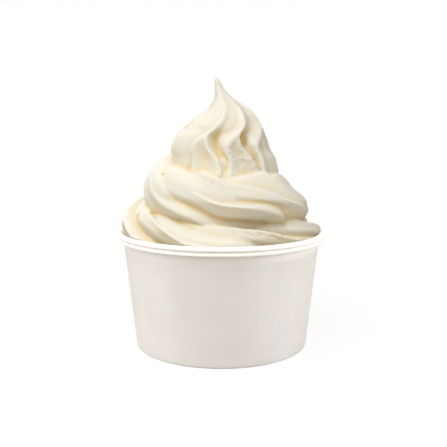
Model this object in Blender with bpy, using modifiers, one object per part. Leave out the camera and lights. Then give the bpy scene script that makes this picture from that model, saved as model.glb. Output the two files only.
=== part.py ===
# Paper dessert cup filled with a soft-serve swirl.
# The origin is the centre of the cup's foot, +Z is up and the front is towards -Y.
# Sizes below are in millimetres and become metres where the geometry is made.

import math

import bmesh
import bpy
from mathutils import Vector

MM = 0.001

# Paper cup
RIM_DIAMETER = 96.0
CUP_HEIGHT = 53.0
FOOT_DIAMETER = 78.8
PAPER = 0.8
CURL_WIDTH = 3.9
CURL_HEIGHT = 3.2
CURL_TAIL_STANDOFF = 0.3
CURL_TAIL_DROP = 0.1
CURL_TAIL_BLEND = 1.2
FOOT_HEM = 1.6
FOOT_HEM_HEIGHT = 5.6
FOOT_HEM_BEVEL = 0.4
BASE_EDGE_BEVEL = 0.2
CUTTER_MARGIN = 4.0
GAP = 0.3
CUP_SIDES = 72

# Soft serve: a rope with star-shaped sections, laid clockwise, under a pulled cap
ROPE_FLUTES = 6
ROPE_LEAN = -14.0
CREST_ROUNDING = 0.18
ROPE_SIDES = 72
RINGS_PER_TURN = 80
CAP_FLUTES = 9
CAP_SIDES = 90
CAP_RINGS = 90
FILL_SIDES = 24
FILL_RINGS = 40
FILL_SWELL = 1.2
FILL_OPENING = 6.0
FILL_TIP = 0.05
VOXEL = 0.9
SOFTENING_STEPS = 3
KEPT_TRIANGLES = 0.068

# Turns from the right-hand side, path radius, height above the rim, rope radius, and
# how far the upper outer shoulder sags, where 0 stays round and 1 lies flat
ROPE_STATIONS = (
    (-0.50, 31.0, -11.0, 12.5, 0.0),
    (0.00, 35.2, -3.5, 12.5, 0.45),
    (0.25, 33.5, -4.2, 12.0, 0.0),
    (0.50, 33.8, 0.9, 13.0, 0.0),
    (0.75, 30.0, 9.5, 12.5, 0.2),
    (1.00, 27.4, 12.0, 12.9, 0.8),
    (1.12, 27.6, 14.9, 13.0, 0.75),
    (1.25, 27.3, 14.9, 13.2, 0.45),
    (1.50, 21.5, 19.0, 13.4, 0.0),
    (1.63, 22.3, 26.0, 12.4, 0.0),
    (1.78, 18.0, 28.0, 12.0, 0.0),
    (2.00, 12.0, 29.0, 12.3, 0.0),
    (2.50, 2.0, 33.0, 12.0, 0.0),
)

# Turns, how many degrees the star has turned in the rope there, and flute depth
STAR_STATIONS = (
    (-0.50, -53.0, 0.20),
    (0.00, 127.0, 0.28),
    (0.13, 182.0, 0.44),
    (0.22, 215.0, 0.42),
    (0.30, 229.0, 0.40),
    (0.34, 248.0, 0.44),
    (0.39, 274.0, 0.40),
    (0.50, 315.0, 0.20),
    (0.60, 350.0, 0.18),
    (1.00, 491.0, 0.12),
    (1.06, 493.0, 0.10),
    (1.10, 510.0, 0.18),
    (1.14, 545.0, 0.25),
    (1.18, 563.0, 0.29),
    (1.25, 580.0, 0.29),
    (1.30, 606.0, 0.28),
    (1.36, 627.0, 0.22),
    (1.42, 660.0, 0.14),
    (1.50, 688.0, 0.12),
    (1.75, 778.0, 0.20),
    (2.50, 1048.0, 0.20),
)

# Flutes of the rope that have run full: degrees from the star, first and last turn,
# thickness as a share of the radius, and how full
ROPE_FILLS = (
    (-464.0, 1.19, 1.66, 0.55, 0.95),
    (-524.0, 1.31, 1.68, 0.50, 0.90),
    (-584.0, 1.31, 1.68, 0.50, 0.90),
    (-464.0, 0.96, 1.15, 0.50, 0.60),
    (-104.0, 0.16, 0.46, 0.50, 0.85),
)

# Height above the rim, sideways shift, radius, bearing of a crest in degrees, flute depth,
# how many degrees the flutes lean over, and for the panel that opens in each crest its
# half width in degrees and its hollow
CAP_STATIONS = (
    (22.0, -0.5, 22.5, -18.0, 0.08, 0.0, 16.5, 0.03),
    (26.0, 0.3, 25.6, -18.0, 0.13, 0.0, 17.0, 0.05),
    (29.0, 0.9, 24.7, -18.5, 0.20, 0.0, 16.5, 0.06),
    (33.0, 0.8, 23.7, -20.0, 0.26, 0.0, 14.0, 0.07),
    (37.0, -0.6, 22.6, -20.5, 0.26, -3.0, 10.5, 0.06),
    (40.0, -0.6, 21.8, -21.0, 0.27, -6.0, 6.5, 0.04),
    (43.0, -0.2, 20.6, -19.5, 0.25, -6.0, 1.5, 0.01),
    (45.7, 0.9, 18.9, -14.0, 0.22, 0.0, 0.0, 0.0),
    (48.8, 1.8, 16.2, -8.5, 0.20, 0.0, 0.0, 0.0),
    (52.2, 3.0, 12.6, -9.5, 0.19, 0.0, 0.0, 0.0),
    (54.6, 3.3, 9.6, -9.0, 0.19, 0.0, 0.0, 0.0),
    (57.3, 2.0, 6.6, -7.0, 0.20, 0.0, 0.0, 0.0),
    (59.5, 1.0, 4.5, -5.0, 0.25, 0.0, 0.0, 0.0),
    (61.8, -0.1, 3.1, -3.0, 0.22, 0.0, 0.0, 0.0),
    (64.5, -1.2, 1.9, 0.0, 0.20, 0.0, 0.0, 0.0),
    (68.9, -2.4, 0.4, 8.0, 0.20, 0.0, 0.0, 0.0),
)

# Flutes of the cap that have run full: degrees from a crest, first and last height above
# the rim, thickness as a share of the radius, and how full
CAP_FILLS = (
    (-20.0, 41.0, 67.0, 0.50, 0.95),
    (-38.0, 22.5, 52.0, 0.55, 1.08),
    (20.0, 40.0, 66.0, 0.40, 0.35),
    (20.0, 22.5, 36.0, 0.40, 0.70),
    (-60.0, 22.5, 66.0, 0.40, 0.50),
    (100.0, 22.5, 52.0, 0.50, 0.85),
    (140.0, 22.5, 50.0, 0.50, 0.85),
    (180.0, 22.5, 50.0, 0.50, 0.70),
)

# Height above the rim and radius of the plain core under the rope and the cap
CORE_STATIONS = ((-51.0, 48.0), (-5.0, 48.0), (2.0, 30.0), (17.0, 22.0), (27.0, 10.0))

RIM_RADIUS = RIM_DIAMETER / 2
FOOT_RADIUS = FOOT_DIAMETER / 2
CURL_CENTRE_RADIUS = RIM_RADIUS - CURL_WIDTH / 2
CURL_CENTRE_HEIGHT = CUP_HEIGHT - CURL_HEIGHT / 2
WALL_TOP_RADIUS = RIM_RADIUS - CURL_WIDTH + PAPER
BASE_UNDERSIDE = FOOT_HEM_HEIGHT + GAP
BASE_TOP = BASE_UNDERSIDE + PAPER


def clear_scene():
    for item in list(bpy.data.objects):
        bpy.data.objects.remove(item, do_unlink=True)


def new_collection(name):
    collection = bpy.data.collections.new(name)
    bpy.context.scene.collection.children.link(collection)
    return collection


def principled(name, colour, roughness):
    material = bpy.data.materials.new(name)
    material.use_nodes = True
    shader = material.node_tree.nodes["Principled BSDF"]
    shader.inputs["Base Color"].default_value = (*colour, 1.0)
    shader.inputs["Roughness"].default_value = roughness
    shader.inputs["Metallic"].default_value = 0.0
    return material


def new_object(name, mesh, collection, material=None):
    item = bpy.data.objects.new(name, mesh)
    collection.objects.link(item)
    if material:
        mesh.materials.append(material)
    return item


def turned(name, profile, closed, collection, material=None):
    """Screw a profile of (radius, height) points, in millimetres, round the Z axis."""
    mesh = bpy.data.meshes.new(name)
    points = [(radius * MM, 0.0, height * MM) for radius, height in profile]
    edges = [(i, i + 1) for i in range(len(points) - 1)]
    if closed:
        edges.append((len(points) - 1, 0))
    mesh.from_pydata(points, edges, [])
    item = new_object(name, mesh, collection, material)
    screw = item.modifiers.new("Turn", "SCREW")
    screw.axis = "Z"
    screw.steps = CUP_SIDES
    screw.render_steps = CUP_SIDES
    screw.use_merge_vertices = True
    screw.merge_threshold = 0.00001
    screw.use_smooth_shade = True
    return item


def wall_outside(height):
    """Outer radius of the tapered wall at a height."""
    slope = (WALL_TOP_RADIUS - FOOT_RADIUS) / CURL_CENTRE_HEIGHT
    return FOOT_RADIUS + slope * height


def curl_arc(start, end, steps, clearance=0.0):
    """Points on the rim curl from one angle to another; 0 points outwards, 90 up."""
    arc = []
    for i in range(steps + 1):
        angle = math.radians(start + (end - start) * i / steps)
        radius = CURL_CENTRE_RADIUS + (CURL_WIDTH / 2 + clearance) * math.cos(angle)
        height = CURL_CENTRE_HEIGHT + (CURL_HEIGHT / 2 + clearance) * math.sin(angle)
        arc.append((radius, height))
    return arc


def make_cup_wall(collection):
    """Tapered wall with a rolled rim and the foot folded in round the base."""
    paper = principled("cup_paper", (0.82, 0.79, 0.76), 0.45)
    underside = CURL_CENTRE_HEIGHT - CURL_HEIGHT / 2
    profile = curl_arc(180, -100, 11)
    tail = underside - CURL_TAIL_DROP
    blend = underside - CURL_TAIL_BLEND
    profile.append((wall_outside(underside) + CURL_TAIL_STANDOFF, tail))
    profile.append((wall_outside(blend), blend))
    profile.append((FOOT_RADIUS, 0.0))
    profile.append((FOOT_RADIUS - FOOT_HEM, 0.0))
    bevel = FOOT_HEM_HEIGHT - FOOT_HEM_BEVEL
    profile.append((wall_outside(bevel) - FOOT_HEM, bevel))
    profile.append((wall_outside(FOOT_HEM_HEIGHT) - PAPER, FOOT_HEM_HEIGHT))
    return turned("cup_wall", profile, True, collection, paper)


def make_cup_base(collection):
    """Raised base disc that sits on the folded foot, inside the wall."""
    paper = principled("base_paper", (0.80, 0.77, 0.74), 0.5)
    radius = wall_outside(BASE_UNDERSIDE) - PAPER - GAP
    profile = [
        (0.0, BASE_TOP),
        (radius - BASE_EDGE_BEVEL, BASE_TOP),
        (radius, BASE_TOP - BASE_EDGE_BEVEL),
        (radius, BASE_UNDERSIDE + BASE_EDGE_BEVEL),
        (radius - BASE_EDGE_BEVEL, BASE_UNDERSIDE),
        (0.0, BASE_UNDERSIDE),
    ]
    return turned("cup_base", profile, False, collection, paper)


def station_value(stations, position, column):
    """Smooth curve through one column of the stations, at a position in the first column."""
    count = len(stations)
    index = 0
    while index < count - 2 and stations[index + 1][0] < position:
        index += 1

    def slope(i):
        low = stations[max(i - 1, 0)]
        high = stations[min(i + 1, count - 1)]
        return (high[column] - low[column]) / (high[0] - low[0])

    start, end = stations[index], stations[index + 1]
    span = end[0] - start[0]
    t = (position - start[0]) / span
    return (
        start[column] * (2 * t ** 3 - 3 * t ** 2 + 1)
        + slope(index) * span * (t ** 3 - 2 * t ** 2 + t)
        + end[column] * (3 * t ** 2 - 2 * t ** 3)
        + slope(index + 1) * span * (t ** 3 - t ** 2)
    )


def blunt(share):
    """Rise from 0 to 1 that starts with a rounded crest and ends level."""
    wave = math.sqrt(math.sin(share * math.pi / 2) ** 2 + CREST_ROUNDING ** 2)
    deepest = math.sqrt(1 + CREST_ROUNDING ** 2)
    return (wave - CREST_ROUNDING) / (deepest - CREST_ROUNDING)


def star_share(place, around):
    """Share of the full radius left at an angle round a star section."""
    angle = around - place["star"]
    angle -= place["lean"] * (1 - math.cos(place["flutes"] * angle)) / 2
    half = math.pi / place["flutes"]
    away = abs((angle + half) % (2 * half) - half)
    panel = place["panel"]
    if away >= panel:
        return 1 - place["depth"] * blunt((away - panel) / (half - panel))
    return 1 - place["hollow"] * blunt(1 - away / panel)


def section_point(place, around, reach):
    """Point of a section, with its upper outer shoulder sagging; 0 looks down, 90 outwards."""
    side = reach * math.sin(around)
    lift = -reach * math.cos(around)
    if lift > 0 and side > 0:
        lift *= 1 - place["sag"] * side / place["radius"]
    return place["centre"] + place["outward"] * side + place["upward"] * lift


def loft(mesh_data, rings):
    """Join rings of points, in millimetres, into a closed skin with flat ends."""
    sides = len(rings[0])
    layers = [[mesh_data.verts.new(point * MM) for point in ring] for ring in rings]
    for lower, upper in zip(layers, layers[1:]):
        for i in range(sides):
            j = (i + 1) % sides
            mesh_data.faces.new((lower[i], lower[j], upper[j], upper[i]))
    mesh_data.faces.new(layers[0][::-1])
    mesh_data.faces.new(layers[-1])


def path_point(turn):
    """Centre of the rope: clockwise seen from above, starting on the right."""
    radius = station_value(ROPE_STATIONS, turn, 1)
    height = CUP_HEIGHT + station_value(ROPE_STATIONS, turn, 2)
    angle = -turn * math.tau
    return Vector((radius * math.cos(angle), radius * math.sin(angle), height))


def rope_at(turn):
    """Section of the rope, square to its path."""
    step = 1 / RINGS_PER_TURN
    along = (path_point(turn + step) - path_point(turn - step)).normalized()
    angle = -turn * math.tau
    outward = Vector((math.cos(angle), math.sin(angle), 0.0))
    outward = (outward - along * outward.dot(along)).normalized()
    return {
        "centre": path_point(turn),
        "outward": outward,
        "upward": along.cross(outward),
        "radius": station_value(ROPE_STATIONS, turn, 3),
        "sag": station_value(ROPE_STATIONS, turn, 4),
        "star": math.radians(station_value(STAR_STATIONS, turn, 1)),
        "depth": station_value(STAR_STATIONS, turn, 2),
        "lean": math.radians(ROPE_LEAN),
        "panel": 0.0,
        "hollow": 0.0,
        "flutes": ROPE_FLUTES,
    }


def cap_at(height):
    """Level section of the pulled cap."""
    shift, radius, bearing, depth, lean, panel, hollow = (
        station_value(CAP_STATIONS, height, column) for column in range(1, 8)
    )
    return {
        "centre": Vector((shift, 0.0, CUP_HEIGHT + height)),
        "outward": Vector((1.0, 0.0, 0.0)),
        "upward": Vector((0.0, 1.0, 0.0)),
        "radius": radius,
        "sag": 0.0,
        "star": math.radians(bearing),
        "depth": depth,
        "lean": math.radians(lean),
        "panel": math.radians(panel),
        "hollow": hollow,
        "flutes": CAP_FLUTES,
    }


def spaced(first, last, steps):
    """Evenly spaced positions from first to last."""
    return [first + (last - first) * k / steps for k in range(steps + 1)]


def star_rings(section_at, positions, sides):
    """Star sections one after another along a path."""
    rings = []
    for position in positions:
        place = section_at(position)
        ring = []
        for i in range(sides):
            around = math.tau * i / sides
            ring.append(section_point(place, around, place["radius"] * star_share(place, around)))
        rings.append(ring)
    return rings


def fill_rings(section_at, offset, first, last, thickness, fullness):
    """Round rod in the bottom of one flute, that rises out of it and sinks back at its ends."""
    rings = []
    for k, position in enumerate(spaced(first, last, FILL_RINGS)):
        place = section_at(position)
        swell = min(FILL_SWELL * math.sin(math.pi * k / FILL_RINGS), 1.0)
        swell = swell ** 2 * (3 - 2 * swell)
        rod = place["radius"] * thickness
        reach = place["radius"] * (1 - place["depth"] * (1 - fullness * swell)) - rod
        middle = section_point(place, place["star"] + math.radians(offset), reach)
        rod *= min(max(FILL_OPENING * swell, FILL_TIP), 1.0)
        ring = []
        for i in range(FILL_SIDES):
            around = math.tau * i / FILL_SIDES
            side = place["outward"] * (rod * math.sin(around))
            ring.append(middle + side - place["upward"] * (rod * math.cos(around)))
        rings.append(ring)
    return rings


def core_rings():
    """Plain round core that fills the cup and the middle of the swirl."""
    rings = []
    for height, radius in CORE_STATIONS:
        ring = []
        for i in range(CUP_SIDES):
            around = math.tau * i / CUP_SIDES
            side, back = radius * math.cos(around), radius * math.sin(around)
            ring.append(Vector((side, back, CUP_HEIGHT + height)))
        rings.append(ring)
    return rings


def make_cup_space_cutter(collection):
    """Everything the cream may not enter: the cup with a clearance all over its inside."""
    floor = BASE_TOP + GAP
    inset = PAPER + GAP
    profile = [(0.0, floor), (wall_outside(floor) - inset, floor)]
    profile.append((wall_outside(CURL_CENTRE_HEIGHT) - inset, CURL_CENTRE_HEIGHT))
    profile += curl_arc(165, 0, 10, GAP)
    profile.append((RIM_RADIUS + CUTTER_MARGIN, CURL_CENTRE_HEIGHT))
    profile.append((RIM_RADIUS + CUTTER_MARGIN, 0.0))
    profile.append((0.0, 0.0))
    cutter = turned("cup_space_cutter", profile, False, collection)
    cutter.display_type = "WIRE"
    cutter.hide_render = True
    return cutter


def make_ice_cream(collection, cutters):
    """Rope, cap and core run together into one body and are trimmed to the cup."""
    cream = principled("soft_serve", (0.88, 0.81, 0.66), 0.4)
    mesh_data = bmesh.new()
    first, last = ROPE_STATIONS[0][0], ROPE_STATIONS[-1][0]
    turns = spaced(first, last, round((last - first) * RINGS_PER_TURN))
    loft(mesh_data, star_rings(rope_at, turns, ROPE_SIDES))
    heights = spaced(CAP_STATIONS[0][0], CAP_STATIONS[-1][0], CAP_RINGS)
    loft(mesh_data, star_rings(cap_at, heights, CAP_SIDES))
    for fill in ROPE_FILLS:
        loft(mesh_data, fill_rings(rope_at, *fill))
    for fill in CAP_FILLS:
        loft(mesh_data, fill_rings(cap_at, *fill))
    loft(mesh_data, core_rings())
    mesh = bpy.data.meshes.new("ice_cream")
    mesh_data.to_mesh(mesh)
    mesh_data.free()
    item = new_object("ice_cream", mesh, collection, cream)

    blend = item.modifiers.new("Run together", "REMESH")
    blend.mode = "VOXEL"
    blend.voxel_size = VOXEL * MM

    soften = item.modifiers.new("Soften seams", "SMOOTH")
    soften.factor = 0.5
    soften.iterations = SOFTENING_STEPS

    reduce = item.modifiers.new("Fewer faces", "DECIMATE")
    reduce.ratio = KEPT_TRIANGLES

    trim = item.modifiers.new("Trim to cup", "BOOLEAN")
    trim.operation = "DIFFERENCE"
    trim.object = make_cup_space_cutter(cutters)
    return item


clear_scene()
parts = new_collection("ice_cream_cup")
cutters = new_collection("cutters")
make_cup_wall(parts)
make_cup_base(parts)
make_ice_cream(parts, cutters)
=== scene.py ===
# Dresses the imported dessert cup: paper cup, soft-serve swirl, studio.
# Lengths in the dictionaries are millimetres; mm turns them into metres.
import math

import bpy
import numpy as np
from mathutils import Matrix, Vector


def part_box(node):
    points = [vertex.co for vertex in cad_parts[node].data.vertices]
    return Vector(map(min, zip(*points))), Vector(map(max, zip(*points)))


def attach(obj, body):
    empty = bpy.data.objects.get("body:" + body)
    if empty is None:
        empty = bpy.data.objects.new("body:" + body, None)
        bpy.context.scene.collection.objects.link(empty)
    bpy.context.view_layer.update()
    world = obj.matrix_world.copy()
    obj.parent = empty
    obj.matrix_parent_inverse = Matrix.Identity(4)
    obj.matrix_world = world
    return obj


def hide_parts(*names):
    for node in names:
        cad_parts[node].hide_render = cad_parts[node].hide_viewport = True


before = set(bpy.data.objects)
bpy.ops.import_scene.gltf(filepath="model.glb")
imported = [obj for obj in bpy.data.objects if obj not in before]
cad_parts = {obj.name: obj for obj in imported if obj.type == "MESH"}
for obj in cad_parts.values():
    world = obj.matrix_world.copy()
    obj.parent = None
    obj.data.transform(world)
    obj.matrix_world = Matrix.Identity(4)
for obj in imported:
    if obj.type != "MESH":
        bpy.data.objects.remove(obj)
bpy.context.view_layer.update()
mm = 0.001
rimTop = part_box("cup_wall")[1][2] / mm      # 53
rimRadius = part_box("cup_wall")[1][0] / mm   # 48
print("frame loaded, rim at", round(rimTop, 1), "mm")


def toLinear(hexColour):
    parts = [int(hexColour[i:i + 2], 16) / 255 for i in (1, 3, 5)]
    return [c / 12.92 if c <= 0.04045 else ((c + 0.055) / 1.055) ** 2.4 for c in parts] + [1.0]


def feed(node, inputs):
    # sets or links inputs; a node given as a value stands for its first output
    for key, value in inputs.items():
        if isinstance(value, bpy.types.Node):
            value = value.outputs[0]
        if isinstance(value, bpy.types.NodeSocket):
            node.id_data.links.new(value, node.inputs[key])
        else:
            node.inputs[key].default_value = value


def addNode(tree, kind, inputs=None, **settings):
    node = tree.nodes.new(kind)
    for name, value in settings.items():
        setattr(node, name, value)
    feed(node, inputs or {})
    return node


def newMaterial(name):
    material = bpy.data.materials.new(name)
    material.use_nodes = True
    tree = material.node_tree
    return material, tree, tree.nodes["Principled BSDF"]


def addObject(name, mesh, material=None):
    item = bpy.data.objects.new(name, mesh)
    bpy.context.scene.collection.objects.link(item)
    if material:
        mesh.materials.append(material)
    return item


def freshTree(name, numbers):
    # a geometry tree with one named input per number and a material input
    tree = bpy.data.node_groups.new(name, "GeometryNodeTree")
    sockets = tree.interface
    sockets.new_socket("Geometry", in_out="OUTPUT", socket_type="NodeSocketGeometry")
    sockets.new_socket("Geometry", in_out="INPUT", socket_type="NodeSocketGeometry")
    for label in numbers:
        kind = "NodeSocketInt" if isinstance(numbers[label], int) else "NodeSocketFloat"
        sockets.new_socket(label, in_out="INPUT", socket_type=kind)
    sockets.new_socket("Material", in_out="INPUT", socket_type="NodeSocketMaterial")
    return tree, tree.nodes.new("NodeGroupInput").outputs


def finishTree(tree, geometry, given):
    solid = addNode(tree, "GeometryNodeRealizeInstances", {"Geometry": geometry})
    dressed = addNode(tree, "GeometryNodeSetMaterial", {"Geometry": solid, "Material": given["Material"]})
    addNode(tree, "NodeGroupOutput", {0: dressed})


def runTree(item, tree, numbers, material):
    modifier = item.modifiers.new(tree.name, "NODES")
    modifier.node_group = tree
    sockets = {s.name: s.identifier for s in tree.interface.items_tree if s.in_out == "INPUT"}
    for label, value in numbers.items():
        modifier[sockets[label]] = value
    modifier[sockets["Material"]] = material


def bakeModifiers(item):
    # the evaluated result becomes the object's own plain mesh
    graph = bpy.context.evaluated_depsgraph_get()
    mesh = bpy.data.meshes.new_from_object(item.evaluated_get(graph))
    item.modifiers.clear()
    item.data = mesh
    return mesh


def readValues(rows, name, width=3):
    values = np.empty(len(rows) * width)
    rows.foreach_get(name, values)
    return values.reshape(-1, width)


def storeAttribute(mesh, name, values):
    values = np.asarray(values, np.float32)
    kind, slot = ("FLOAT_VECTOR", "vector") if values.ndim == 2 else ("FLOAT", "value")
    mesh.attributes.new(name, kind, "POINT").data.foreach_set(slot, values.ravel())


creamLook = {
    # painted shade: the colours run from the crest's to the groove's warm, darker colour, which stands in
    # for the shade in the hollows
    "crest": "#EFEDE3", "body": "#EBE6D8", "paintedGrooveShade": "#EED9A8", "bodyAt": 0.38,
    "hollowFrom": -0.5, "hollowTo": 1.0,            # mm of hollow that turn the colour
    "underFrom": 0.35, "underTo": -0.45, "underShadeShare": 0.3,     # painted shade on the faces that look down
    "besidePaper": "#CCC2A8", "besideShare": 0.9,   # low faces that the rim keeps in its shade
    "mottleSize": 7.0, "mottleShare": 0.30,
    "streakSize": 0.9, "streakDepth": 0.25, "streakStrength": 0.25,
    # real crystals are under 0.1 mm across; they are drawn coarser so that they show
    "crystalSize": 0.6, "crystalDepth": 0.5, "crystalLeast": 0.10, "crystalIcy": 0.9,
    "dampFrom": 0.35, "dampTo": 0.7, "dampest": 0.36, "driest": 0.52,   # roughness, wet to dry
    "ior": 1.38,
    "scatterDepth": 1.3, "scatterShare": 0.75, "scatterReach": (1.0, 0.88, 0.58),
}


def makeCreamMaterial():
    # Vanilla soft serve: whipped milk fat and fine ice, drawn through a star nozzle.
    # Light soaks in and comes back warm; hollows and faces that look down are given painted shade, a warmer,
    # darker colour; the skin has a damp satin sheen.
    look = creamLook
    material, tree, shader = newMaterial("vanillaSoftServe")
    place = tree.nodes.new("ShaderNodeTexCoord").outputs["Object"]
    hollow, under, beside, icy = [
        addNode(tree, "ShaderNodeAttribute", attribute_name=name).outputs["Fac"]
        for name in ("hollow", "under", "beside", "icy")]
    grain = addNode(tree, "ShaderNodeAttribute", attribute_name="grain").outputs["Vector"]

    mottle = addNode(tree, "ShaderNodeTexNoise", {
        "Vector": place, "Scale": 1 / (look["mottleSize"] * mm), "Detail": 3.0})
    inHollow = addNode(tree, "ShaderNodeMapRange", {
        "Value": hollow, "From Min": look["hollowFrom"], "From Max": look["hollowTo"]},
        interpolation_type="SMOOTHSTEP")
    # painted shade: faces that look down take part of the groove's darker colour
    paintedUnderShade = addNode(tree, "ShaderNodeMapRange", {
        "Value": under, "From Min": look["underFrom"], "From Max": look["underTo"],
        "To Max": look["underShadeShare"]}, interpolation_type="SMOOTHSTEP")
    uneven = addNode(tree, "ShaderNodeMath", {
        0: mottle, 1: look["mottleShare"], 2: -look["mottleShare"] / 2}, operation="MULTIPLY_ADD")
    sheltered = addNode(tree, "ShaderNodeMath", {0: inHollow, 1: paintedUnderShade}, operation="ADD")
    shade = addNode(tree, "ShaderNodeMath", {0: sheltered, 1: uneven}, operation="ADD", use_clamp=True)
    # painted shade: hollows and faces that look down take the darker, warmer end of the ramp
    ramp = addNode(tree, "ShaderNodeValToRGB", {"Fac": shade})
    ramp.color_ramp.elements[0].color = toLinear(look["crest"])
    ramp.color_ramp.elements[1].color = toLinear(look["paintedGrooveShade"])
    ramp.color_ramp.elements.new(look["bodyAt"]).color = toLinear(look["body"])
    colour = addNode(tree, "ShaderNodeMix", {
        "Factor": beside, 6: ramp, 7: toLinear(look["besidePaper"])}, data_type="RGBA").outputs[2]

    streak = addNode(tree, "ShaderNodeTexNoise", {
        "Vector": grain, "Scale": 1 / look["streakSize"], "Detail": 2.0})
    drawn = addNode(tree, "ShaderNodeBump", {
        "Height": streak, "Strength": look["streakStrength"], "Distance": look["streakDepth"] * mm})
    crystal = addNode(tree, "ShaderNodeTexNoise", {
        "Vector": place, "Scale": 1 / (look["crystalSize"] * mm), "Detail": 2.0})
    sharp = addNode(tree, "ShaderNodeMath", {
        0: icy, 1: look["crystalIcy"], 2: look["crystalLeast"]}, operation="MULTIPLY_ADD")
    frosted = addNode(tree, "ShaderNodeBump", {
        "Height": crystal, "Strength": sharp, "Distance": look["crystalDepth"] * mm, "Normal": drawn})
    damp = addNode(tree, "ShaderNodeMapRange", {
        "Value": mottle, "From Min": look["dampFrom"], "From Max": look["dampTo"],
        "To Min": look["dampest"], "To Max": look["driest"]})
    feed(shader, {
        "Base Color": colour, "Normal": frosted, "Roughness": damp, "IOR": look["ior"],
        "Subsurface Weight": look["scatterShare"], "Subsurface Radius": look["scatterReach"],
        "Subsurface Scale": look["scatterDepth"] * mm})
    return material


paperLook = {
    # painted light: the wall's colour is a greyer copy of the roll's white, for the dimmer light on the
    # upright wall
    "wall": ("#DCDADA", "#D7D4D3"), "roll": ("#F9F7F4", "#F4F1ED"),     # palest and darkest of each
    "paintedLightFrom": rimTop - 9.0, "paintedLightTo": rimTop - 3.5,     # painted light: paler from here up to the rolled rim, where the light from above falls
    "cloudSize": 14.0, "toneFrom": 0.45, "toneTo": 0.9,
    # real fibres are some 0.03 mm thick; they are drawn coarser so that they show
    "fibreSize": 0.9, "fibreStretch": 0.35, "fibreShare": 0.35, "fibreDepth": 0.06, "fibreStrength": 0.25,
    "smoothest": 0.47, "roughest": 0.63, "ior": 1.5, "scatterDepth": 0.8, "scatterShare": 0.15,
}


def makePaperMaterial():
    # Bleached paperboard with a thin clear film, rolled and pressed: matt with a faint sheen,
    # cloudy where the pulp is uneven, and short fibres that just show; painted light makes the wall greyer
    # and the rolled rim whiter.
    look = paperLook
    material, tree, shader = newMaterial("coatedPaperboard")
    place = tree.nodes.new("ShaderNodeTexCoord").outputs["Object"]
    cloud = addNode(tree, "ShaderNodeTexNoise", {
        "Vector": place, "Scale": 1 / (look["cloudSize"] * mm), "Detail": 2.0})
    upright = addNode(tree, "ShaderNodeMapping", {
        "Vector": place, "Scale": (1.0, 1.0, look["fibreStretch"])})
    fibre = addNode(tree, "ShaderNodeTexNoise", {
        "Vector": upright, "Scale": 1 / (look["fibreSize"] * mm), "Detail": 4.0, "Roughness": 0.65})
    mixed = addNode(tree, "ShaderNodeMath", {0: fibre, 1: look["fibreShare"], 2: cloud},
                    operation="MULTIPLY_ADD")
    tone = addNode(tree, "ShaderNodeMapRange", {
        "Value": mixed, "From Min": look["toneFrom"], "From Max": look["toneTo"]})
    ramps = []
    for palest, darkest in (look["wall"], look["roll"]):
        ramp = addNode(tree, "ShaderNodeValToRGB", {"Fac": tone})
        ramp.color_ramp.elements[0].color = toLinear(palest)
        ramp.color_ramp.elements[1].color = toLinear(darkest)
        ramps.append(ramp)
    height = addNode(tree, "ShaderNodeSeparateXYZ", {0: place}).outputs["Z"]
    # painted light: the colour turns from the wall's grey to the roll's white towards the rim
    paintedRimLight = addNode(tree, "ShaderNodeMapRange", {
        "Value": height, "From Min": look["paintedLightFrom"] * mm, "From Max": look["paintedLightTo"] * mm})
    colour = addNode(tree, "ShaderNodeMix", {"Factor": paintedRimLight, 6: ramps[0], 7: ramps[1]},
                     data_type="RGBA").outputs[2]
    relief = addNode(tree, "ShaderNodeBump", {
        "Height": fibre, "Strength": look["fibreStrength"], "Distance": look["fibreDepth"] * mm})
    film = addNode(tree, "ShaderNodeMapRange", {
        "Value": fibre, "To Min": look["smoothest"], "To Max": look["roughest"]})
    feed(shader, {
        "Base Color": colour, "Normal": relief, "Roughness": film, "IOR": look["ior"],
        "Subsurface Weight": look["scatterShare"], "Subsurface Scale": look["scatterDepth"] * mm})
    return material


creamMaterial = makeCreamMaterial()
paperMaterial = makePaperMaterial()
print("materials ready")


cup = {
    "height": rimTop, "rimRadius": rimRadius, "footRadius": 39.4, "paper": 0.8,
    "sides": 192, "rollPoints": 29, "beadPoints": 13, "wallPoints": 25,
    "curlWidth": 3.9, "curlHeight": 3.2,        # room that the rolled rim and its bead take
    "rollRadius": 46.2, "rollWidth": 3.6, "rollHeight": 2.35,
    "beadRadius": 46.5, "beadHeight": 49.7, "beadSize": 1.8,
    "footHem": 1.6, "footHemHeight": 5.6,
    "seamWidth": 7.0, "seamStep": 0.22, "seamSoftness": 1.2, "seamBearing": 180.0,  # the last two in degrees
}
curlCentre = (cup["rimRadius"] - cup["curlWidth"] / 2, cup["height"] - cup["curlHeight"] / 2)
wallTop = cup["rimRadius"] - cup["curlWidth"] + cup["paper"]


def wallOutside(height):
    return cup["footRadius"] + (wallTop - cup["footRadius"]) * height / curlCentre[1]


def arcPoints(across, up, wide, tall, first, last, count):
    # part of an oval, from one bearing in degrees to another
    angles = np.radians(np.linspace(first, last, count))
    return [(across + wide / 2 * math.cos(a), up + tall / 2 * math.sin(a)) for a in angles]


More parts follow.
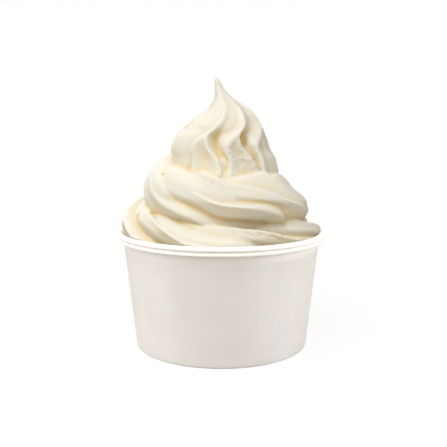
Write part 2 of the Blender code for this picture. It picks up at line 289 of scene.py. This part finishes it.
def cupSection():
    # from the inside of the rolled rim, over it, down past the lid bead and the wall,
    # and up the folded foot and the inside
    under = cup["height"] - cup["curlHeight"]
    foot, hem, top = cup["footRadius"], cup["footHem"], cup["footHemHeight"]
    section = arcPoints(cup["rollRadius"], cup["height"] - cup["rollHeight"] / 2,
                        cup["rollWidth"], cup["rollHeight"], 180, -68, cup["rollPoints"])
    section += arcPoints(cup["beadRadius"], cup["beadHeight"],
                         cup["beadSize"], cup["beadSize"], 62, -70, cup["beadPoints"])
    section.append((wallOutside(under - 0.7) + 0.1, under - 0.4))
    section += [(wallOutside(up), up) for up in np.linspace(under - 1.2, 1.0, cup["wallPoints"])[:-1]]
    section += [(foot + 0.1, 0.9), (foot - 0.05, 0.15), (foot - 0.3, 0.0)]
    section += [(foot - hem + 0.3, 0.0), (foot - hem, 0.3), (wallOutside(top) - hem, top - 0.4)]
    section += [(wallOutside(up) - cup["paper"], up) for up in np.linspace(top, under, 21)]
    return np.array(section)


def makeCupWall():
    section = cupSection()
    outside, up = section[:, 0], section[:, 1]
    onWall = (up < cup["height"] - cup["curlHeight"] - 1) & (up > 0.5) & (outside > wallOutside(up) - 0.2)
    sides, count = cup["sides"], len(section)
    bearing = np.linspace(0, 360, sides, endpoint=False)[:, None]
    # the lapped seam stands out by the thickness of its overlap
    away = np.abs((bearing - cup["seamBearing"] + 180) % 360 - 180)
    half = math.degrees(cup["seamWidth"] / 2 / cup["footRadius"])
    lap = np.clip((half - away) / cup["seamSoftness"] + 0.5, 0, 1) * cup["seamStep"]
    radius = outside + onWall * lap
    turn = np.radians(bearing)
    points = np.stack([radius * np.sin(turn), -radius * np.cos(turn), up + 0 * radius], 2)
    around = [(i, (i + 1) % sides) for i in range(sides)]
    along = [(k, (k + 1) % count) for k in range(count)]
    faces = [(i * count + m, j * count + m, j * count + k, i * count + k)
             for i, j in around for k, m in along]
    mesh = bpy.data.meshes.new("cupShell")
    mesh.from_pydata((points.reshape(-1, 3) * mm).tolist(), [], faces)
    mesh.shade_smooth()
    return addObject("cupShell", mesh, paperMaterial)


cupShell = makeCupWall()
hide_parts("cup_wall")
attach(cupShell, "root")
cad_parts["cup_base"].data.materials.clear()
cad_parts["cup_base"].data.materials.append(paperMaterial)
print("cup made")


swirl = {
    "ropeFlutes": 6.0, "ropeLean": -14.0, "ringsPerTurn": 220,
    # turns from the right-hand side, path radius, height above the rim, rope radius, shoulder sag
    "rope": [
        (-0.50, 31.0, -11.0, 12.5, 0.0), (0.00, 35.2, -3.5, 12.5, 0.45), (0.25, 33.5, -4.2, 12.0, 0.0),
        (0.50, 33.8, 0.9, 13.0, 0.0), (0.75, 30.0, 9.5, 12.5, 0.2), (1.00, 27.4, 12.0, 12.9, 0.8),
        (1.12, 27.6, 14.9, 13.0, 0.75), (1.25, 27.3, 14.9, 13.2, 0.45), (1.50, 21.5, 19.0, 13.4, 0.0),
        (1.63, 22.3, 26.0, 12.4, 0.0), (1.78, 18.0, 28.0, 12.0, 0.0), (2.00, 12.0, 29.0, 12.3, 0.0),
        (2.50, 2.0, 33.0, 12.0, 0.0)],
    # turns, how far the star has turned in the rope there, flute depth
    "star": [
        (-0.50, -53.0, 0.20), (0.00, 127.0, 0.28), (0.13, 182.0, 0.44), (0.17, 203.0, 0.46),
        (0.22, 215.0, 0.42), (0.30, 229.0, 0.40), (0.34, 248.0, 0.44), (0.39, 274.0, 0.40),
        (0.50, 315.0, 0.20), (0.60, 350.0, 0.18), (1.00, 491.0, 0.12), (1.06, 493.0, 0.10),
        (1.10, 510.0, 0.18), (1.14, 545.0, 0.25), (1.18, 563.0, 0.29), (1.22, 573.0, 0.29),
        (1.25, 580.0, 0.29), (1.30, 606.0, 0.28), (1.36, 627.0, 0.22), (1.42, 660.0, 0.14),
        (1.50, 688.0, 0.12), (1.75, 778.0, 0.20), (2.50, 1048.0, 0.20)],
    # flutes of the rope that have run together: angle from the star, first and last turn,
    # share of the radius and how full
    "ropeFills": [
        (-464.0, 1.19, 1.66, 0.55, 0.95), (-524.0, 1.31, 1.68, 0.50, 0.9),
        (-104.0, 0.16, 0.46, 0.50, 0.85), (-584.0, 1.31, 1.68, 0.50, 0.9),
        (-464.0, 0.96, 1.15, 0.50, 0.6)],
    "capFlutes": 9.0, "capRings": 220,
    # height above the rim, sideways shift, radius, crest bearing, flute depth, lean of the flutes,
    # half width of the panel that opens in each crest, and how far the panel is hollowed
    "cap": [
        (22.0, -0.5, 22.5, -18.0, 0.08, 0.0, 16.5, 0.03), (26.0, 0.3, 25.6, -18.0, 0.13, 0.0, 17.0, 0.05),
        (29.0, 0.9, 24.7, -18.5, 0.20, 0.0, 16.5, 0.06), (33.0, 0.8, 23.7, -20.0, 0.26, 0.0, 14.0, 0.07),
        (37.0, -0.6, 22.6, -20.5, 0.26, -3.0, 10.5, 0.06), (40.0, -0.6, 21.8, -21.0, 0.27, -6.0, 6.5, 0.04),
        (43.0, -0.2, 20.6, -19.5, 0.25, -6.0, 1.5, 0.01), (45.7, 0.9, 18.9, -14.0, 0.22, 0.0, 0.0, 0.0),
        (48.8, 1.8, 16.2, -8.5, 0.20, 0.0, 0.0, 0.0), (52.2, 3.0, 12.6, -9.5, 0.19, 0.0, 0.0, 0.0),
        (54.6, 3.3, 9.6, -9.0, 0.19, 0.0, 0.0, 0.0), (57.3, 2.0, 6.6, -7.0, 0.20, 0.0, 0.0, 0.0),
        (59.5, 1.0, 4.5, -5.0, 0.25, 0.0, 0.0, 0.0), (61.8, -0.1, 3.1, -3.0, 0.22, 0.0, 0.0, 0.0),
        (64.5, -1.2, 1.9, 0.0, 0.20, 0.0, 0.0, 0.0), (67.0, -1.9, 1.1, 5.0, 0.20, 0.0, 0.0, 0.0),
        (68.5, -2.4, 0.5, 10.0, 0.20, 0.0, 0.0, 0.0)],
    # flutes of the cap that have run together: angle from a crest, first and last height above
    # the rim, share of the radius and how full
    "capFills": [
        (-20.0, 41.0, 67.0, 0.50, 0.95), (-38.0, 22.5, 52.0, 0.55, 1.08), (20.0, 40.0, 66.0, 0.40, 0.35),
        (20.0, 22.5, 36.0, 0.40, 0.7), (-60.0, 22.5, 66.0, 0.40, 0.5), (100.0, 22.5, 52.0, 0.50, 0.85),
        (140.0, 22.5, 50.0, 0.50, 0.85), (180.0, 22.5, 50.0, 0.50, 0.7)],
    "fillRings": 90, "fillSwell": 1.2, "fillOpening": 6.0, "fillTip": 0.05,     # how a fill's ends swell
    # height above the rim and radius of the plain middle, which is trimmed to the cup
    "middle": [(-51.0, 39.0), (-46.0, 39.0), (-20.0, 48.0), (-5.0, 48.0), (2.0, 30.0), (17.0, 22.0),
               (27.0, 10.0)],
    "middleRings": 60,
    "streakStretch": 0.15,      # streaks are drawn out along the path by one over this
}


def throughStations(stations, column, positions):
    # smooth curve through one column of the stations
    table = np.array(stations, float)
    x, y = table[:, 0], table[:, column]
    slope = np.concatenate([[(y[1] - y[0]) / (x[1] - x[0])], (y[2:] - y[:-2]) / (x[2:] - x[:-2]),
                            [(y[-1] - y[-2]) / (x[-1] - x[-2])]])
    i = np.clip(np.searchsorted(x, positions) - 1, 0, len(x) - 2)
    span = x[i + 1] - x[i]
    t = (positions - x[i]) / span
    return (y[i] * (2 * t ** 3 - 3 * t ** 2 + 1) + slope[i] * span * (t ** 3 - 2 * t ** 2 + t)
            + y[i + 1] * (3 * t ** 2 - 2 * t ** 3) + slope[i + 1] * span * (t ** 3 - t ** 2))


def unit(vectors):
    return vectors / np.linalg.norm(vectors, axis=1, keepdims=True)


def makeChain(centre, outward, upward, size, flutes, **shape):
    # what the star section needs at each point of a path; what isn't given is nought
    plain = np.ones(len(size))
    chain = {"centre": centre, "outward": outward * plain[:, None], "upward": upward * plain[:, None],
             "size": size, "flutes": flutes * plain}
    for name in ("roll", "depth", "sag", "lean", "panel", "dip"):
        chain[name] = shape.get(name, 0.0) * plain
    return chain


def ropeAt(turn):
    radius, height, size, sag = [throughStations(swirl["rope"], column, turn) for column in range(1, 5)]
    star, depth = [throughStations(swirl["star"], column, turn) for column in (1, 2)]
    angle = -turn * math.tau
    centre = np.stack([radius * np.cos(angle), radius * np.sin(angle), rimTop + height], 1)
    along = unit(np.gradient(centre, axis=0))
    outward = np.stack([np.cos(angle), np.sin(angle), 0 * angle], 1)
    outward = unit(outward - along * (outward * along).sum(1, keepdims=True))
    return makeChain(centre, outward, np.cross(along, outward), size, swirl["ropeFlutes"],
                     roll=np.radians(star), depth=depth, sag=sag, lean=math.radians(swirl["ropeLean"]))


def uprightChain(shift, height, size, **shape):
    centre = np.stack([shift + 0 * height, 0 * height, rimTop + height], 1)
    return makeChain(centre, np.array((1.0, 0.0, 0.0)), np.array((0.0, 1.0, 0.0)), size,
                     swirl["capFlutes"], **shape)


def capAt(height):
    shift, size, bearing, depth, lean, panel, dip = [
        throughStations(swirl["cap"], column, height) for column in range(1, 8)]
    return uprightChain(shift, height, size, roll=np.radians(bearing), depth=depth,
                        lean=np.radians(lean), panel=np.radians(panel), dip=dip)


def fillChain(host, offset, first, last, share, fullness):
    # a round rod in the bottom of one flute, that rises from it and sinks back at its ends
    chain = host(np.linspace(first, last, swirl["fillRings"]))
    around = chain["roll"] + math.radians(offset)
    swell = np.sin(math.pi * np.linspace(0, 1, swirl["fillRings"])) * swirl["fillSwell"]
    swell = np.clip(swell, 0, 1)
    swell = swell ** 2 * (3 - 2 * swell)
    rod = chain["size"] * share
    reach = chain["size"] * (1 - chain["depth"] * (1 - fullness * swell)) - rod
    side, lift = reach * np.sin(around), -reach * np.cos(around)
    lift -= np.maximum(lift, 0) * np.maximum(side, 0) / chain["size"] * chain["sag"]
    chain["centre"] = chain["centre"] + side[:, None] * chain["outward"] + lift[:, None] * chain["upward"]
    chain["size"] = rod * np.clip(swell * swirl["fillOpening"], swirl["fillTip"], 1.0)
    for name in ("depth", "sag", "lean", "dip"):
        chain[name] = chain[name] * 0
    return chain


def makePaths():
    # all the centre lines as one mesh of edges, with what the star sections need at each point
    start, end = swirl["rope"][0][0], swirl["rope"][-1][0]
    foot, tip = swirl["cap"][0][0], swirl["cap"][-1][0]
    middle = np.array(swirl["middle"])
    level = np.linspace(middle[0, 0], middle[-1, 0], swirl["middleRings"])
    level = np.unique(np.maximum(level, creamBody["floor"] - rimTop))
    chains = [ropeAt(np.linspace(start, end, round((end - start) * swirl["ringsPerTurn"]) + 1)),
              capAt(np.linspace(foot, tip, swirl["capRings"] + 1)),
              uprightChain(0.0, level, np.interp(level, middle[:, 0], middle[:, 1]))]
    chains += [fillChain(ropeAt, *fill) for fill in swirl["ropeFills"]]
    chains += [fillChain(capAt, *fill) for fill in swirl["capFills"]]
    edges, first = [], 0
    for chain in chains:
        count = len(chain["size"])
        edges += [(first + k, first + k + 1) for k in range(count - 1)]
        first += count
        steps = np.linalg.norm(np.diff(chain["centre"], axis=0), axis=1)
        chain["travel"] = np.concatenate([[0], np.cumsum(steps)])
    joined = {name: np.concatenate([chain[name] for chain in chains]) for name in chains[0]}
    joined["centre"] *= mm
    joined["size"] *= mm
    mesh = bpy.data.meshes.new("creamPaths")
    mesh.from_pydata(joined["centre"].tolist(), edges, [])
    for name, values in joined.items():
        storeAttribute(mesh, name, values)
    return addObject("creamPaths", mesh)


creamSkin = {"Sides": 168, "Crest Rounding": 0.18}


def starSkinTree():
    # sweeps a star section along each path: crests sharp, flutes round, shoulders sagging
    tree, given = freshTree("starSkin", creamSkin)
    rounding = given["Crest Rounding"]
    read = {name: addNode(tree, "GeometryNodeInputNamedAttribute", {"Name": name}, data_type="FLOAT")
            for name in ("around", "size", "roll", "depth", "sag", "lean", "panel", "dip", "flutes")}
    for name in ("centre", "outward", "upward"):
        read[name] = addNode(tree, "GeometryNodeInputNamedAttribute", {"Name": name},
                             data_type="FLOAT_VECTOR")
    curve = addNode(tree, "GeometryNodeMeshToCurve", {"Mesh": given["Geometry"]})
    circle = addNode(tree, "GeometryNodeCurvePrimitiveCircle", {"Resolution": given["Sides"], "Radius": mm})
    index = addNode(tree, "GeometryNodeInputIndex")
    step = addNode(tree, "ShaderNodeMath", {0: math.tau, 1: given["Sides"]}, operation="DIVIDE")
    turned = addNode(tree, "ShaderNodeMath", {0: index, 1: step}, operation="MULTIPLY")
    marked = addNode(tree, "GeometryNodeStoreNamedAttribute", {
        "Geometry": circle, "Name": "around", "Value": turned}, data_type="FLOAT", domain="POINT")
    swept = addNode(tree, "GeometryNodeCurveToMesh", {
        "Curve": curve, "Profile Curve": marked, "Fill Caps": True})

    # angle from a crest, leaned over between the crests
    fromCrest = addNode(tree, "ShaderNodeMath", {0: read["around"], 1: read["roll"]}, operation="SUBTRACT")
    wide = addNode(tree, "ShaderNodeMath", {0: fromCrest, 1: read["flutes"]}, operation="MULTIPLY")
    swing = addNode(tree, "ShaderNodeMath", {0: wide}, operation="COSINE")
    between = addNode(tree, "ShaderNodeMath", {0: swing, 1: -0.5, 2: 0.5}, operation="MULTIPLY_ADD")
    leaning = addNode(tree, "ShaderNodeMath", {0: between, 1: read["lean"]}, operation="MULTIPLY")
    leaned = addNode(tree, "ShaderNodeMath", {0: fromCrest, 1: leaning}, operation="SUBTRACT")

    # distance from the crest, then the share of the way into the flute and into the panel
    half = addNode(tree, "ShaderNodeMath", {0: math.pi, 1: read["flutes"]}, operation="DIVIDE")
    away = addNode(tree, "ShaderNodeMath", {0: leaned, 1: half}, operation="PINGPONG")
    intoFlute = addNode(tree, "ShaderNodeMapRange", {
        "Value": away, "From Min": read["panel"], "From Max": half})
    intoPanel = addNode(tree, "ShaderNodeMapRange", {
        "Value": away, "From Min": read["panel"], "From Max": 0.0})

    # a rounded wave takes its depth off the radius
    roundSquared = addNode(tree, "ShaderNodeMath", {0: rounding, 1: 2.0}, operation="POWER")
    most = addNode(tree, "ShaderNodeMath", {0: roundSquared, 1: 1.0}, operation="ADD")
    deepest = addNode(tree, "ShaderNodeMath", {0: most}, operation="SQRT")
    whole = addNode(tree, "ShaderNodeMath", {0: deepest, 1: rounding}, operation="SUBTRACT")
    left = 1.0
    for into, depth in ((intoFlute, read["depth"]), (intoPanel, read["dip"])):
        quarter = addNode(tree, "ShaderNodeMath", {0: into, 1: math.pi / 2}, operation="MULTIPLY")
        wave = addNode(tree, "ShaderNodeMath", {0: quarter}, operation="SINE")
        squared = addNode(tree, "ShaderNodeMath", {0: wave, 1: 2.0}, operation="POWER")
        total = addNode(tree, "ShaderNodeMath", {0: squared, 1: roundSquared}, operation="ADD")
        blunt = addNode(tree, "ShaderNodeMath", {0: total}, operation="SQRT")
        rise = addNode(tree, "ShaderNodeMath", {0: blunt, 1: rounding}, operation="SUBTRACT")
        share = addNode(tree, "ShaderNodeMath", {0: rise, 1: whole}, operation="DIVIDE")
        cut = addNode(tree, "ShaderNodeMath", {0: share, 1: depth}, operation="MULTIPLY")
        left = addNode(tree, "ShaderNodeMath", {0: left, 1: cut}, operation="SUBTRACT")
    reach = addNode(tree, "ShaderNodeMath", {0: left, 1: read["size"]}, operation="MULTIPLY")
    sine = addNode(tree, "ShaderNodeMath", {0: read["around"]}, operation="SINE")
    cosine = addNode(tree, "ShaderNodeMath", {0: read["around"]}, operation="COSINE")
    side = addNode(tree, "ShaderNodeMath", {0: reach, 1: sine}, operation="MULTIPLY")
    fall = addNode(tree, "ShaderNodeMath", {0: reach, 1: cosine}, operation="MULTIPLY")
    lift = addNode(tree, "ShaderNodeMath", {0: fall, 1: -1.0}, operation="MULTIPLY")

    # the upper outer shoulder sags by its distance from the middle
    outer = addNode(tree, "ShaderNodeMath", {0: side, 1: 0.0}, operation="MAXIMUM")
    outerShare = addNode(tree, "ShaderNodeMath", {0: outer, 1: read["size"]}, operation="DIVIDE")
    drop = addNode(tree, "ShaderNodeMath", {0: outerShare, 1: read["sag"]}, operation="MULTIPLY")
    held = addNode(tree, "ShaderNodeMath", {0: 1.0, 1: drop}, operation="SUBTRACT")
    lowered = addNode(tree, "ShaderNodeMath", {0: lift, 1: held}, operation="MULTIPLY")
    rest = addNode(tree, "ShaderNodeMath", {0: lift, 1: lowered}, operation="MINIMUM")
    sideways = addNode(tree, "ShaderNodeVectorMath", {0: read["outward"], "Scale": side}, operation="SCALE")
    upwards = addNode(tree, "ShaderNodeVectorMath", {0: read["upward"], "Scale": rest}, operation="SCALE")
    across = addNode(tree, "ShaderNodeVectorMath", {0: sideways, 1: upwards}, operation="ADD")
    spot = addNode(tree, "ShaderNodeVectorMath", {0: read["centre"], 1: across}, operation="ADD")
    shaped = addNode(tree, "GeometryNodeSetPosition", {"Geometry": swept, "Position": spot})
    finishTree(tree, shaped, given)
    return tree


def makeStarSkin():
    item = makePaths()
    runTree(item, starSkinTree(), creamSkin, creamMaterial)
    mesh = bakeModifiers(item)
    read = {name: readValues(mesh.attributes[name].data, "vector")
            for name in ("centre", "outward", "upward")}
    # place in the section, drawn out along the path, for the streaks
    arm = readValues(mesh.vertices, "co") - read["centre"]
    section = [(arm * read[side]).sum(1) / mm for side in ("outward", "upward")]
    section.append(readValues(mesh.attributes["travel"].data, "value", 1)[:, 0] * swirl["streakStretch"])
    storeAttribute(mesh, "section", np.stack(section, 1))
    print("star skin", len(mesh.vertices), "points")
    return item


creamRelief = {     # mm; the crumble shows only where the cream is icy
    "Unevenness": 0.5, "Unevenness Size": 9.0, "Streak Depth": 0.16, "Streak Width": 1.4,
    "Crumble Depth": 1.35, "Crumble Size": 1.4,
}


def reliefTree(skinItem):
    # soft unevenness, streaks drawn out along the rope, and coarse crumbs where it is icy
    tree, given = freshTree("meltRelief", creamRelief)
    place = addNode(tree, "GeometryNodeInputPosition")
    section, icy, free = [
        addNode(tree, "GeometryNodeInputNamedAttribute", {"Name": name}, data_type=kind)
        for name, kind in (("section", "FLOAT_VECTOR"), ("icy", "FLOAT"), ("free", "FLOAT"))]
    skin = addNode(tree, "GeometryNodeObjectInfo", {"Object": skinItem}).outputs["Geometry"]
    grain = addNode(tree, "GeometryNodeSampleNearestSurface", {
        "Mesh": skin, "Value": section, "Sample Position": place}, data_type="FLOAT_VECTOR")
    placed = addNode(tree, "ShaderNodeVectorMath", {0: place, "Scale": 1 / mm}, operation="SCALE")
    height = 0.0
    for where, depth, width, detail, share in (
            (placed, "Unevenness", "Unevenness Size", 1.0, 1.0),
            (grain, "Streak Depth", "Streak Width", 1.0, 1.0),
            (placed, "Crumble Depth", "Crumble Size", 2.0, icy)):
        scale = addNode(tree, "ShaderNodeMath", {0: 1.0, 1: given[width]}, operation="DIVIDE")
        noise = addNode(tree, "ShaderNodeTexNoise", {"Vector": where, "Scale": scale, "Detail": detail})
        swing = addNode(tree, "ShaderNodeMath", {0: noise, 1: 0.5}, operation="SUBTRACT")
        part = addNode(tree, "ShaderNodeMath", {0: swing, 1: given[depth]}, operation="MULTIPLY")
        height = addNode(tree, "ShaderNodeMath", {0: part, 1: share, 2: height}, operation="MULTIPLY_ADD")
    held = addNode(tree, "ShaderNodeMath", {0: height, 1: free}, operation="MULTIPLY")
    metres = addNode(tree, "ShaderNodeMath", {0: held, 1: mm}, operation="MULTIPLY")
    outwards = addNode(tree, "GeometryNodeInputNormal")
    offset = addNode(tree, "ShaderNodeVectorMath", {0: outwards, "Scale": metres}, operation="SCALE")
    kept = addNode(tree, "GeometryNodeStoreNamedAttribute", {
        "Geometry": given["Geometry"], "Name": "grain", "Value": grain},
        data_type="FLOAT_VECTOR", domain="POINT")
    moved = addNode(tree, "GeometryNodeSetPosition", {"Geometry": kept, "Offset": offset})
    finishTree(tree, moved, given)
    return tree


creamBody = {
    "voxel": 0.55, "softenBy": 0.5, "softenSteps": 2,
    "clearance": 0.1, "floor": 7.0,             # gap to the paper, and the lowest that the cream goes
    "thinnedBelow": -6.0, "keptShare": 0.56,    # height from the rim under which faces are thinned
    "reliefFrom": -1.0, "reliefTo": 2.0,        # height from the rim over which the relief comes in
    # across, back and above the rim, and radius, of the patches that ice has made coarse, and how coarse
    "icy": [(6.0, -21.5, 35.5, 9.0, 1.0), (13.0, -20.0, 31.5, 8.5, 1.0), (-3.0, -33.0, 23.0, 10.0, 0.8),
            (22.0, -37.0, 3.0, 10.0, 0.7), (10.0, -38.0, 4.0, 8.0, 0.5), (16.0, -33.0, 17.0, 8.0, 0.3),
            (-14.0, 26.0, 24.0, 9.0, 0.6), (20.0, 12.0, 33.0, 8.0, 0.6)],
    "coarse": 0.10,     # everywhere else
    # the same of small hollows, how much taller than wide, and their depth
    "pits": [(-36.4, -15.0, 7.4, 1.9, 1.6, 1.6), (-25.1, -17.6, 25.4, 1.2, 2.6, 1.5),
             (9.3, -14.0, 41.5, 2.4, 2.6, 1.0)],
    # how sharp the pits are, and the painted shade laid in and around them and how far it spreads
    "pitSteepness": 1.5, "pitShade": 0.35, "pitShadeSpread": 1.4,
    "hollowReach": 30,          # smoothing steps that a hollow is measured against
    "rimShadeReach": 11.0, "rimShadeLean": 0.5,     # mm above the rim, and the upward lean that escapes it
}


def cupInside(height):
    # widest radius the cream may have at a height, clear of the wall and the curl
    gap = creamBody["clearance"]
    wall = wallOutside(np.minimum(height, curlCentre[1])) - cup["paper"] - gap
    a, b = cup["curlWidth"] / 2 + gap, cup["curlHeight"] / 2 + gap
    up = np.clip((height - curlCentre[1]) / b, 0, 1)
    curl = curlCentre[0] - a * np.sqrt(1 - up ** 2)
    inside = np.where(height > curlCentre[1], curl, np.minimum(wall, curl))
    return np.where(height >= curlCentre[1] + b, 1000.0, inside)


def trimToCup(points):
    # the cream fills the cup with a hair's clearance
    points[:, 2] = np.maximum(points[:, 2], creamBody["floor"])
    radius = np.hypot(points[:, 0], points[:, 1])
    shrink = np.minimum(1.0, cupInside(points[:, 2]) / np.maximum(radius, 0.001))
    points[:, :2] *= shrink[:, None]
    return points


def nearSpot(points, spot, radius, tall=1.0):
    # 1 at the spot, 0 from its radius outwards
    away = points - (spot[0], spot[1], spot[2] + rimTop)
    away = np.linalg.norm(away / (1, 1, tall), axis=1) / radius
    return np.clip(1 - away ** 2, 0, 1)


def smoothed(points, edges, steps):
    count = len(points)
    ends, others = np.concatenate([edges, edges[:, ::-1]]).T
    degree = np.maximum(np.bincount(ends, minlength=count), 1)
    for _ in range(steps):
        points = np.stack([np.bincount(ends, points[others, k], count) / degree for k in range(3)], 1)
    return points


def markShade(mesh):
    # how hollow each point is, how far it looks up, and how much the rim shades it
    points, normals = readValues(mesh.vertices, "co") / mm, readValues(mesh.vertices, "normal")
    ends = np.empty(len(mesh.edges) * 2, np.int64)
    mesh.edges.foreach_get("vertices", ends)
    mean = smoothed(points, ends.reshape(-1, 2), creamBody["hollowReach"])
    hollow = ((mean - points) * normals).sum(1)
    # painted shade: the colour darkens in and around each small pit
    for x, y, z, radius, tall, depth in creamBody["pits"]:
        paintedPitShade = nearSpot(points, (x, y, z), radius * creamBody["pitShadeSpread"], tall)
        hollow += paintedPitShade * depth * creamBody["pitShade"]
    reach, lean = creamBody["rimShadeReach"], creamBody["rimShadeLean"]
    low = np.clip((rimTop + reach - points[:, 2]) / reach, 0, 1)
    turnedDown = np.clip((lean - normals[:, 2]) / lean, 0, 1)
    storeAttribute(mesh, "hollow", hollow)
    storeAttribute(mesh, "beside", np.sqrt(low) * turnedDown * creamLook["besideShare"])
    storeAttribute(mesh, "under", normals[:, 2])


def makeSoftServe():
    skinItem = makeStarSkin()
    item = addObject("softServe", skinItem.data.copy())
    together = item.modifiers.new("runTogether", "REMESH")
    together.mode = "VOXEL"
    together.voxel_size = creamBody["voxel"] * mm
    soften = item.modifiers.new("soften", "SMOOTH")
    soften.factor = creamBody["softenBy"]
    soften.iterations = creamBody["softenSteps"]
    mesh = bakeModifiers(item)
    points = readValues(mesh.vertices, "co") / mm
    outwards = readValues(mesh.vertices, "normal")
    for x, y, z, radius, tall, depth in creamBody["pits"]:
        dent = nearSpot(points, (x, y, z), radius, tall) ** creamBody["pitSteepness"] * depth
        points -= outwards * dent[:, None]
    points = trimToCup(points)
    mesh.vertices.foreach_set("co", (points * mm).ravel())
    print("run together", len(mesh.polygons), "faces")

    # fewer faces where the cup hides them
    hidden = item.vertex_groups.new(name="insideCup")
    low = np.flatnonzero(points[:, 2] < rimTop + creamBody["thinnedBelow"])
    hidden.add(low.tolist(), 1.0, "REPLACE")
    thin = item.modifiers.new("thinHidden", "DECIMATE")
    thin.ratio = creamBody["keptShare"]
    thin.vertex_group = "insideCup"
    mesh = bakeModifiers(item)
    item.vertex_groups.clear()

    points = readValues(mesh.vertices, "co") / mm
    icy = np.full(len(points), creamBody["coarse"])
    for x, y, z, radius, coarse in creamBody["icy"]:
        icy = np.maximum(icy, nearSpot(points, (x, y, z), radius) * coarse)
    storeAttribute(mesh, "icy", icy)
    first, full = creamBody["reliefFrom"], creamBody["reliefTo"]
    storeAttribute(mesh, "free", np.clip((points[:, 2] - rimTop - first) / (full - first), 0, 1))
    runTree(item, reliefTree(skinItem), creamRelief, creamMaterial)
    mesh = bakeModifiers(item)
    bpy.data.objects.remove(skinItem)
    markShade(mesh)
    mesh.shade_smooth()
    mesh.calc_loop_triangles()
    print("soft serve", len(mesh.loop_triangles), "triangles")
    return item


softServe = makeSoftServe()
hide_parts("ice_cream")
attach(softServe, "root")


studio = {
    "cameraBack": 318.0, "cameraHeight": 104.4, "cameraPitch": 8.77, "lens": 56.3, "shiftX": 0.0049,
    # the fill is stronger from one side, as from a window
    "fill": 0.49, "fillColour": "#FFFBF2", "fillTilt": 0.85, "fillFrom": (-0.46, -0.58, 0.67),
    "floorWidth": 12000.0, "cloudsPerMetre": 6.0, "floorPalest": 0.98, "floorDarkest": 0.96,
    "floorGlow": 0.9, "floorBounce": "#AFA99F",
    # bearing from the front, positive to the right, rise and spread in degrees,
    # strength, and the one piece that it brightens
    "lights": [
        ("softKey", -34.0, 54.0, 30.0, 1.16, None), ("backFill", -165.0, 20.0, 60.0, 0.7, None),
        ("leftFlank", -82.0, 4.0, 50.0, 2.1, cupShell), ("rightFlank", 82.0, 4.0, 50.0, 3.6, cupShell),
        ("lowFront", -5.0, 6.0, 60.0, 0.55, cupShell), ("rightFill", 70.0, 28.0, 60.0, 0.22, softServe)],
}


def makeWorld():
    world = bpy.data.worlds.new("studioWorld")
    bpy.context.scene.world = world
    world.use_nodes = True
    tree = world.node_tree
    seen = addNode(tree, "ShaderNodeBackground", {"Color": (1, 1, 1, 1), "Strength": 1.0})
    outlook = tree.nodes.new("ShaderNodeTexCoord").outputs["Generated"]
    towards = addNode(tree, "ShaderNodeVectorMath", {0: outlook, 1: studio["fillFrom"]},
                      operation="DOT_PRODUCT").outputs["Value"]
    strength = addNode(tree, "ShaderNodeMath", {
        0: towards, 1: studio["fill"] * studio["fillTilt"], 2: studio["fill"]},
        operation="MULTIPLY_ADD", use_clamp=True)
    fill = tree.nodes["Background"]
    feed(fill, {"Color": toLinear(studio["fillColour"]), "Strength": strength})
    direct = tree.nodes.new("ShaderNodeLightPath").outputs["Is Camera Ray"]
    mixed = addNode(tree, "ShaderNodeMixShader", {0: direct, 1: fill, 2: seen})
    feed(tree.nodes["World Output"], {0: mixed})


def makeLights():
    for name, bearing, rise, spread, strength, receiver in studio["lights"]:
        sun = bpy.data.lights.new(name, "SUN")
        sun.energy = strength
        sun.angle = math.radians(spread)
        lamp = bpy.data.objects.new(name, sun)
        bpy.context.scene.collection.objects.link(lamp)
        turn, lift = math.radians(bearing), math.radians(rise)
        aim = Vector((-math.sin(turn) * math.cos(lift), math.cos(turn) * math.cos(lift), -math.sin(lift)))
        lamp.rotation_euler = aim.to_track_quat("-Z", "Y").to_euler()
        if receiver:
            lit = bpy.data.collections.new(name)
            lit.objects.link(receiver)
            lamp.light_linking.receiver_collection = lit


def makeFloor():
    # pale paper sweep: it is seen bright, and throws back less light than it shows
    material, tree, shader = newMaterial("paleFloor")
    place = tree.nodes.new("ShaderNodeTexCoord").outputs["Object"]
    cloud = addNode(tree, "ShaderNodeTexNoise", {"Vector": place, "Scale": studio["cloudsPerMetre"]})
    tone = addNode(tree, "ShaderNodeMapRange", {
        "Value": cloud, "To Min": studio["floorDarkest"], "To Max": studio["floorPalest"]})
    feed(shader, {"Base Color": tone, "Roughness": 0.9, "Specular IOR Level": 0.0})
    glow = addNode(tree, "ShaderNodeEmission", {"Color": (1, 1, 1, 1), "Strength": 1.0})
    bright = addNode(tree, "ShaderNodeMixShader", {0: studio["floorGlow"], 1: shader, 2: glow})
    dim = addNode(tree, "ShaderNodeBsdfDiffuse", {"Color": toLinear(studio["floorBounce"])})
    direct = tree.nodes.new("ShaderNodeLightPath").outputs["Is Camera Ray"]
    mixed = addNode(tree, "ShaderNodeMixShader", {0: direct, 1: dim, 2: bright})
    feed(tree.nodes["Material Output"], {"Surface": mixed})
    half = studio["floorWidth"] / 2 * mm
    mesh = bpy.data.meshes.new("studioFloor")
    mesh.from_pydata([(-half, -half, 0), (half, -half, 0), (half, half, 0), (-half, half, 0)],
                     [], [(0, 1, 2, 3)])
    addObject("studioFloor", mesh, material)


def makeCamera():
    lens = bpy.data.cameras.new("studioCamera")
    lens.lens = studio["lens"]
    lens.shift_x = studio["shiftX"]
    lens.clip_start = 0.01
    camera = bpy.data.objects.new("studioCamera", lens)
    bpy.context.scene.collection.objects.link(camera)
    camera.location = (0, -studio["cameraBack"] * mm, studio["cameraHeight"] * mm)
    camera.rotation_euler = (math.radians(90 - studio["cameraPitch"]), 0, 0)
    bpy.context.scene.camera = camera
    bpy.context.scene.view_settings.view_transform = "Standard"


makeWorld()
makeLights()
makeFloor()
makeCamera()
print("studio ready")
